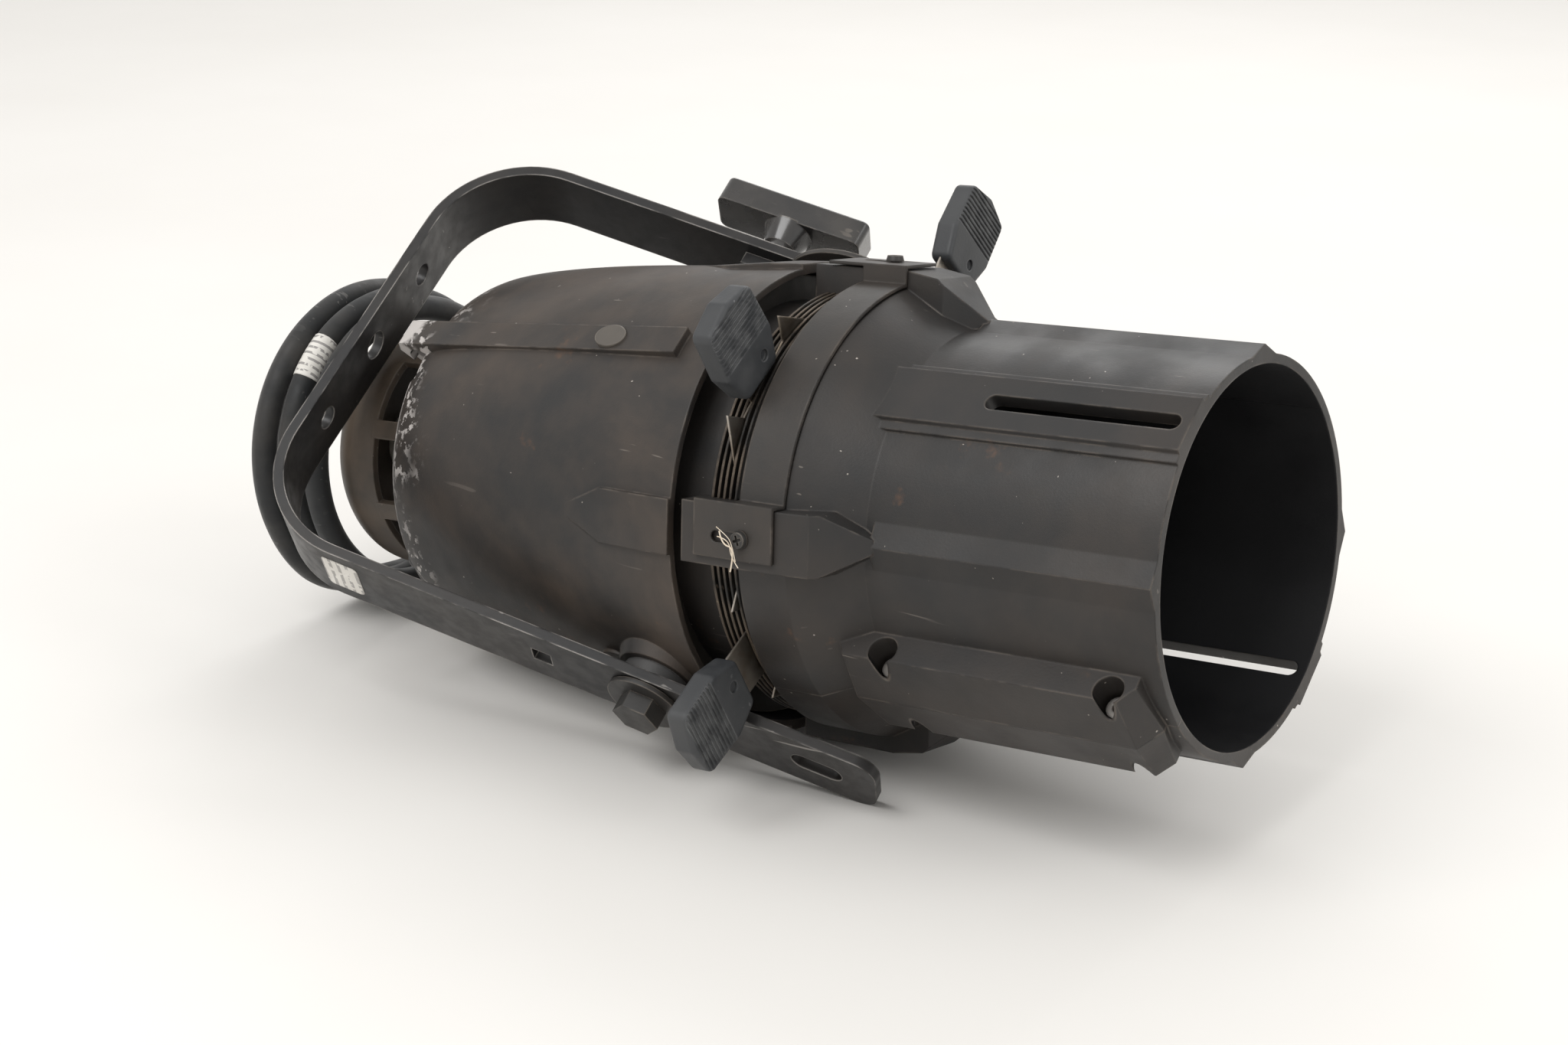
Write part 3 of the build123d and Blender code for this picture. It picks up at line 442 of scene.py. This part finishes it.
BLACK, BROWN_DUST = (0.018, 0.0175, 0.0175), (0.075, 0.055, 0.041)
FINISHES = {
    cast_paint("barrel_paint", BLACK, BROWN_DUST, 0.28): (
        "barrel_upper_half", "barrel_lower_half", "gate_collar"),
    cast_paint("housing_paint", BLACK, BROWN_DUST, 0.72, rim_chips): ("reflector_housing",),
    cast_paint("cover_paint", (0.024, 0.023, 0.022), BROWN_DUST, 0.4): ("slot_cover",),
    cast_paint("burner_paint", (0.03, 0.026, 0.022), (0.10, 0.072, 0.05), 0.8): ("burner_housing",),
    coated_steel("yoke_coat", (0.011, 0.011, 0.012), 0.85, (0.46, 0.43, 0.40)): (
        "yoke", "clamp_jaw"),
    coated_steel("black_hardware", (0.022, 0.021, 0.02), 0.6, (0.3, 0.26, 0.22), 0.4): (
        "pivot_washers", "pivot_bolts", "pivot_nuts", "friction_disc", "cover_screws",
        "reflector_ring"),
    coated_steel("gate_leaves", (0.012, 0.011, 0.010), 0.8, (0.30, 0.23, 0.17), 0.5): (
        "gate_plate", "shutter_guide_1", "shutter_guide_2", "shutter_guide_3", "shutter_guide_4"),
    bare_metal("blade_sheet", (0.50, 0.46, 0.41), (0.27, 0.22, 0.17), 0.28): (
        "shutter_blade_top", "shutter_blade_near", "shutter_blade_far", "shutter_blade_under"),
    moulded("grip_plastic", (0.030, 0.032, 0.035), (0.085, 0.086, 0.086), 0.50, 0.7, 0.2): (
        "shutter_grip_top", "shutter_grip_near", "shutter_grip_far", "shutter_grip_under"),
    moulded("knob_plastic", (0.035, 0.035, 0.036), (0.085, 0.08, 0.075), 0.45): (
        "pivot_bush", "burner_screw", "alignment_knob"),
    moulded("plug_plastic", (0.075, 0.066, 0.056), (0.14, 0.12, 0.10), 0.5, 0.4): ("rail_plugs",),
    moulded("handle_gloss", (0.022, 0.021, 0.021), (0.075, 0.065, 0.055), 0.24, 0.9, 0.05, 0.5): (
        "lock_handle",),
    moulded("connector_plastic", (0.03, 0.03, 0.031), (0.08, 0.078, 0.075), 0.42): (
        "cable_connector", "cable_gland"),
    bare_metal("mirror_finish", (0.80, 0.80, 0.82), (0.66, 0.66, 0.68), 0.08, streaks=0.1): (
        "ellipsoidal_reflector",),
    bare_metal("tungsten", (0.42, 0.42, 0.43), (0.25, 0.25, 0.26), 0.35): ("lamp_filament",),
    bare_metal("brass_pins", (0.80, 0.60, 0.28), (0.55, 0.38, 0.16), 0.22): ("connector_pins",),
    bare_metal("dull_zinc", (0.36, 0.34, 0.32), (0.20, 0.18, 0.16), 0.4): ("seam_screws",),
    ceramic(): ("lamp_socket", "lamp_base"),
    quartz(): ("lamp_envelope",),
}
for finish, names in FINISHES.items():
    for name in names:
        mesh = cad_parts[name].data
        mesh.materials.clear()
        mesh.materials.append(finish)
lead.data.materials.append(cable_sheath())

# =================================================================================================
# Small pieces: the lead's label, the yoke's sticker, threads caught at the slot cover
# =================================================================================================
LABEL_TURN = 1.46           # turns round the coil to the middle of the label
LABEL_LENGTH, LABEL_THICK = 19 * MM, 0.35 * MM
YOKE_FOLD = math.radians(22.35)     # between the yoke's arms and the beam
# the near arm's outer face from the beam, and where its bend to the bridge starts, with its radius
ARM_FACE, BEND_START, BEND_R = 116.6, 158.0, 52.0


def shown(piece, body, material):
    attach(piece, body)
    piece.data.materials.append(material)


label_spot = polar(COIL_FIRST_X - TURN_PITCH * LABEL_TURN, turn_radius(LABEL_TURN),
                   COIL_START + 360 * LABEL_TURN)
middle = min(range(len(lead_line)), key=lambda i: (lead_line[i] - label_spot).length)
first = last = middle
while (lead_line[first] - lead_line[last]).length < LABEL_LENGTH:
    first, last = first - 1, last + 1
label = nurbs("lead_label", lead_line[first:last + 1], CORD_D / 2 + LABEL_THICK)
label_line = (lead_line[last] - lead_line[first]).normalized()
shown(label, "root", printed_paper("lead_paper", label_line, 3.2 * MM, 0.75))


def on_near_arm(u, off, out):
    """Point above the near yoke arm's outer face: u behind the pivot, off across the bar."""
    past_bend = max(0.0, u - BEND_START)
    face = ARM_FACE - BEND_R + math.sqrt(BEND_R ** 2 - past_bend ** 2)
    return place(-u * math.cos(YOKE_FOLD) + off * math.sin(YOKE_FOLD), -face - out,
                 u * math.sin(YOKE_FOLD) + off * math.cos(YOKE_FOLD))


STICKER_U, STICKER_OFF, STICKER_W, STICKER_H, STICKER_CORNER = 154.5, 0.5, 19.0, 23.0, 2.5
STICKER_UNDER, STICKER_TOP = 0.05, 0.25     # its two faces above the arm
CORNER_STEPS = 5
ring = []
for corner_u, corner_off, start in ((1, 1, 0), (-1, 1, 90), (-1, -1, 180), (1, -1, 270)):
    centre_u = STICKER_U + corner_u * (STICKER_W / 2 - STICKER_CORNER)
    centre_off = STICKER_OFF + corner_off * (STICKER_H / 2 - STICKER_CORNER)
    for step in range(CORNER_STEPS):
        a = math.radians(start + 90 / (CORNER_STEPS - 1) * step)
        ring.append((centre_u + STICKER_CORNER * math.cos(a),
                     centre_off + STICKER_CORNER * math.sin(a)))
sticker_mesh = bpy.data.meshes.new("yoke_sticker")
count = len(ring)
corners = [on_near_arm(u, off, out) for out in (STICKER_UNDER, STICKER_TOP) for u, off in ring]
ends = [tuple(range(count - 1, -1, -1)), tuple(range(count, 2 * count))]
rim = [(i, (i + 1) % count, count + (i + 1) % count, count + i) for i in range(count)]
sticker_mesh.from_pydata(corners, [], ends + rim)
sticker = bpy.data.objects.new("yoke_sticker", sticker_mesh)
bpy.context.scene.collection.objects.link(sticker)
along_arm = (on_near_arm(1, 0, 0) - on_near_arm(0, 0, 0)).normalized()
shown(sticker, "yoke", printed_paper("sticker_paper", along_arm, 4.5 * MM, 0.6))

thread_shader = Shader("frayed_thread", Roughness=0.8)
thread_colour = thread_shader.finish(
    thread_shader.mix(thread_shader.noise(300.0), (0.82, 0.76, 0.66), (0.55, 0.42, 0.28)))
# each thread's station and angle round the beam at four points over the cover's near tab
THREADS = (((58.5, 42.6), (63, 44.0), (66.5, 45.5), (69, 49.5)),
           ((60, 43.4), (62, 46.2), (68, 46.6), (66, 51.8)),
           ((59, 44.6), (64.5, 44.9), (65.5, 48.5), (70, 50.8)))
THREAD_RADIUS = 111.6       # distance from the beam, just over the tab and its screw
for index, route in enumerate(THREADS):
    knots = [polar(x + random.uniform(-0.6, 0.6), THREAD_RADIUS + random.uniform(-0.3, 0.5), angle)
             for x, angle in route]
    thread = nurbs(f"thread_{index + 1}", knots, random.uniform(0.16, 0.34) * MM)
    shown(thread, "slot_cover", thread_colour)

# =================================================================================================
# Studio
# =================================================================================================
FLOOR_REACH = 9             # metres from the middle to each edge
floor_mesh = bpy.data.meshes.new("floor")
floor_mesh.from_pydata([(x * FLOOR_REACH, y * FLOOR_REACH, 0)
                        for x, y in ((-1, -1), (1, -1), (1, 1), (-1, 1))], [], [(0, 1, 2, 3)])
floor = bpy.data.objects.new("floor", floor_mesh)
bpy.context.scene.collection.objects.link(floor)
pale = Shader("pale_floor", Roughness=0.75)
floor_mesh.materials.append(
    pale.finish(pale.mix(pale.noise(3.0, 4.0), (0.80, 0.785, 0.76), (0.74, 0.72, 0.69))))

world = bpy.data.worlds.new("studio")
bpy.context.scene.world = world
world.use_nodes = True
world.node_tree.nodes["Background"].inputs["Color"].default_value = (1, 0.99, 0.97, 1)
world.node_tree.nodes["Background"].inputs["Strength"].default_value = 0.8


def area_light(name, at, aim, size, power):
    """Rectangular light facing a point, with its size in metres and its power in watts."""
    data = bpy.data.lights.new(name, "AREA")
    data.shape = "RECTANGLE"
    data.size, data.size_y = size
    data.energy = power
    lamp = bpy.data.objects.new(name, data)
    bpy.context.scene.collection.objects.link(lamp)
    lamp.location = at
    lamp.rotation_euler = (Vector(aim) - Vector(at)).to_track_quat("-Z", "Y").to_euler()


area_light("key", (-0.3, -1.4, 1.9), (0, 0, 0.1), (1.6, 1.0), 26)
area_light("fill", (1.8, 0.2, 1.2), (0.1, 0, 0.1), (1.2, 1.2), 10)
area_light("back", (-0.6, 1.8, 1.6), (0, 0, 0.1), (1.8, 0.8), 16)
bpy.context.scene.view_settings.view_transform = "Standard"
